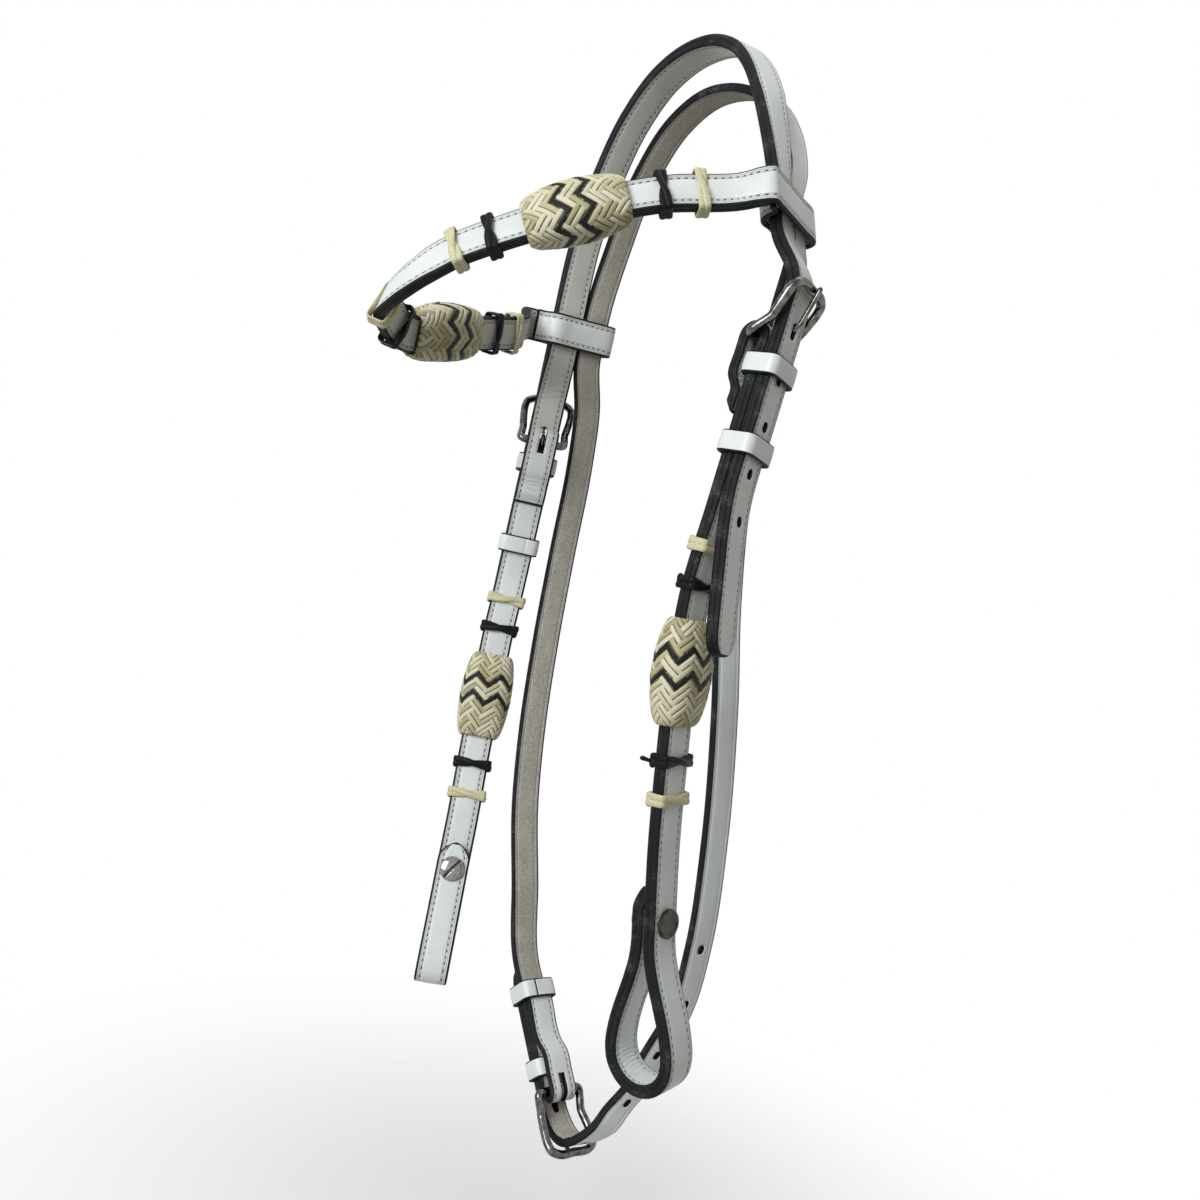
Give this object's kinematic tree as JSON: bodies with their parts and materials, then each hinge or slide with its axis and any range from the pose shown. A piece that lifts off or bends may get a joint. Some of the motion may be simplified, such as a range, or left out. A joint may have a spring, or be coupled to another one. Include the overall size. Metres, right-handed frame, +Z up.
{
  "type": "western headstall",
  "caption": "Browband headstall of stitched leather straps with throatlatch, wire buckles, braided rawhide buttons and screw-closed bit loops; it holds a bit on a horse's head.",
  "frame": {"origin": "underside of the crown strap at its highest point, where the headstall hangs", "axes": "+Z up along the hanging straps; the browband stands out towards -Y; +X towards the near cheek, the one on the right of the picture"},
  "size_m": [0.2086, 0.1962, 0.5254],
  "materials": {
    "white_leather": "smooth finished strap leather, white face",
    "rawhide": "braided natural rawhide",
    "black_lace": "dyed lace",
    "polished_steel": "polished steel wire",
    "dark_bronze": "dark oxidised bronze"
  },
  "bodies": {
    "straps": {"crown_strap": "white_leather", "far_cheek_black_wrap_lower": "black_lace", "far_cheek_black_wrap_upper": "black_lace", "far_cheek_button": "rawhide", "far_cheek_rawhide_wrap_lower": "rawhide", "far_cheek_rawhide_wrap_upper": "rawhide", "far_cheek_strap": "white_leather", "far_fixed_keeper": "white_leather", "far_loop_post": "polished_steel", "far_loop_screw": "polished_steel", "near_cheek_black_wrap_lower": "black_lace", "near_cheek_black_wrap_upper": "black_lace", "near_cheek_button": "rawhide", "near_cheek_rawhide_wrap_lower": "rawhide", "near_cheek_rawhide_wrap_upper": "rawhide", "near_cheek_strap": "white_leather", "near_fixed_keeper": "white_leather", "near_loop_post": "dark_bronze", "near_loop_screw": "polished_steel", "throat_fixed_keeper": "white_leather", "throatlatch_strap": "white_leather"},
    "browband": {"brow_far_black_wrap_lower": "black_lace", "brow_far_black_wrap_upper": "black_lace", "brow_far_button": "rawhide", "brow_far_rawhide_wrap_lower": "rawhide", "brow_far_rawhide_wrap_upper": "rawhide", "brow_near_black_wrap_lower": "black_lace", "brow_near_black_wrap_upper": "black_lace", "brow_near_button": "rawhide", "brow_near_rawhide_wrap_lower": "rawhide", "brow_near_rawhide_wrap_upper": "rawhide", "browband": "white_leather"},
    "far_buckle_frame": {"far_buckle_frame": "polished_steel"},
    "far_buckle_tongue": {"far_buckle_tongue": "polished_steel"},
    "far_loose_keeper": {"far_loose_keeper": "white_leather"},
    "near_buckle_frame": {"near_buckle_frame": "polished_steel"},
    "near_buckle_tongue": {"near_buckle_tongue": "polished_steel"},
    "near_loose_keeper": {"near_loose_keeper": "white_leather"},
    "throat_buckle_frame": {"throat_buckle_frame": "polished_steel"},
    "throat_buckle_tongue": {"throat_buckle_tongue": "polished_steel"},
    "throat_loose_keeper": {"throat_loose_keeper": "white_leather"}
  },
  "joints": [
    {"name": "browband_slide", "type": "slide", "parent": "straps", "child": "browband", "axis": [-0.0717, -0.0544, 0.9959], "range_m": [-0.0015, 0.0015]},
    {"name": "far_frame_hinge", "type": "hinge", "parent": "straps", "child": "far_buckle_frame", "pos_m": [-0.09, -0.008, -0.184], "axis": [-0.4499, -0.892, 0.0448], "range_deg": [-1, 4]},
    {"name": "far_tongue_hinge", "type": "hinge", "parent": "far_buckle_frame", "child": "far_buckle_tongue", "pos_m": [-0.09, -0.008, -0.184], "axis": [-0.4499, -0.892, 0.0448], "range_deg": [0, 5]},
    {"name": "far_keeper_slide", "type": "slide", "parent": "straps", "child": "far_loose_keeper", "axis": [-0.04, -0.03, -0.9988], "range_m": [-0.012, 0.006]},
    {"name": "near_frame_hinge", "type": "hinge", "parent": "straps", "child": "near_buckle_frame", "pos_m": [0.0743, -0.006, -0.145], "axis": [-0.3467, 0.9276, -0.1391], "range_deg": [-1, 4]},
    {"name": "near_tongue_hinge", "type": "hinge", "parent": "near_buckle_frame", "child": "near_buckle_tongue", "pos_m": [0.0743, -0.006, -0.145], "axis": [-0.3467, 0.9276, -0.1391], "range_deg": [0, 5]},
    {"name": "near_keeper_slide", "type": "slide", "parent": "straps", "child": "near_loose_keeper", "axis": [0, -0.1483, -0.9889], "range_m": [-0.006, 0.009]},
    {"name": "throat_frame_hinge", "type": "hinge", "parent": "straps", "child": "throat_buckle_frame", "pos_m": [-0.01, 0.018, -0.494], "axis": [-0.0388, 0.9982, 0.0459], "range_deg": [0, 4]},
    {"name": "throat_tongue_hinge", "type": "hinge", "parent": "throat_buckle_frame", "child": "throat_buckle_tongue", "pos_m": [-0.01, 0.018, -0.494], "axis": [-0.0388, 0.9982, 0.0459], "range_deg": [0, 5]},
    {"name": "throat_keeper_slide", "type": "slide", "parent": "straps", "child": "throat_loose_keeper", "axis": [-0.6211, -0.0601, 0.7814], "range_m": [-0.008, 0.008]}
  ]
}
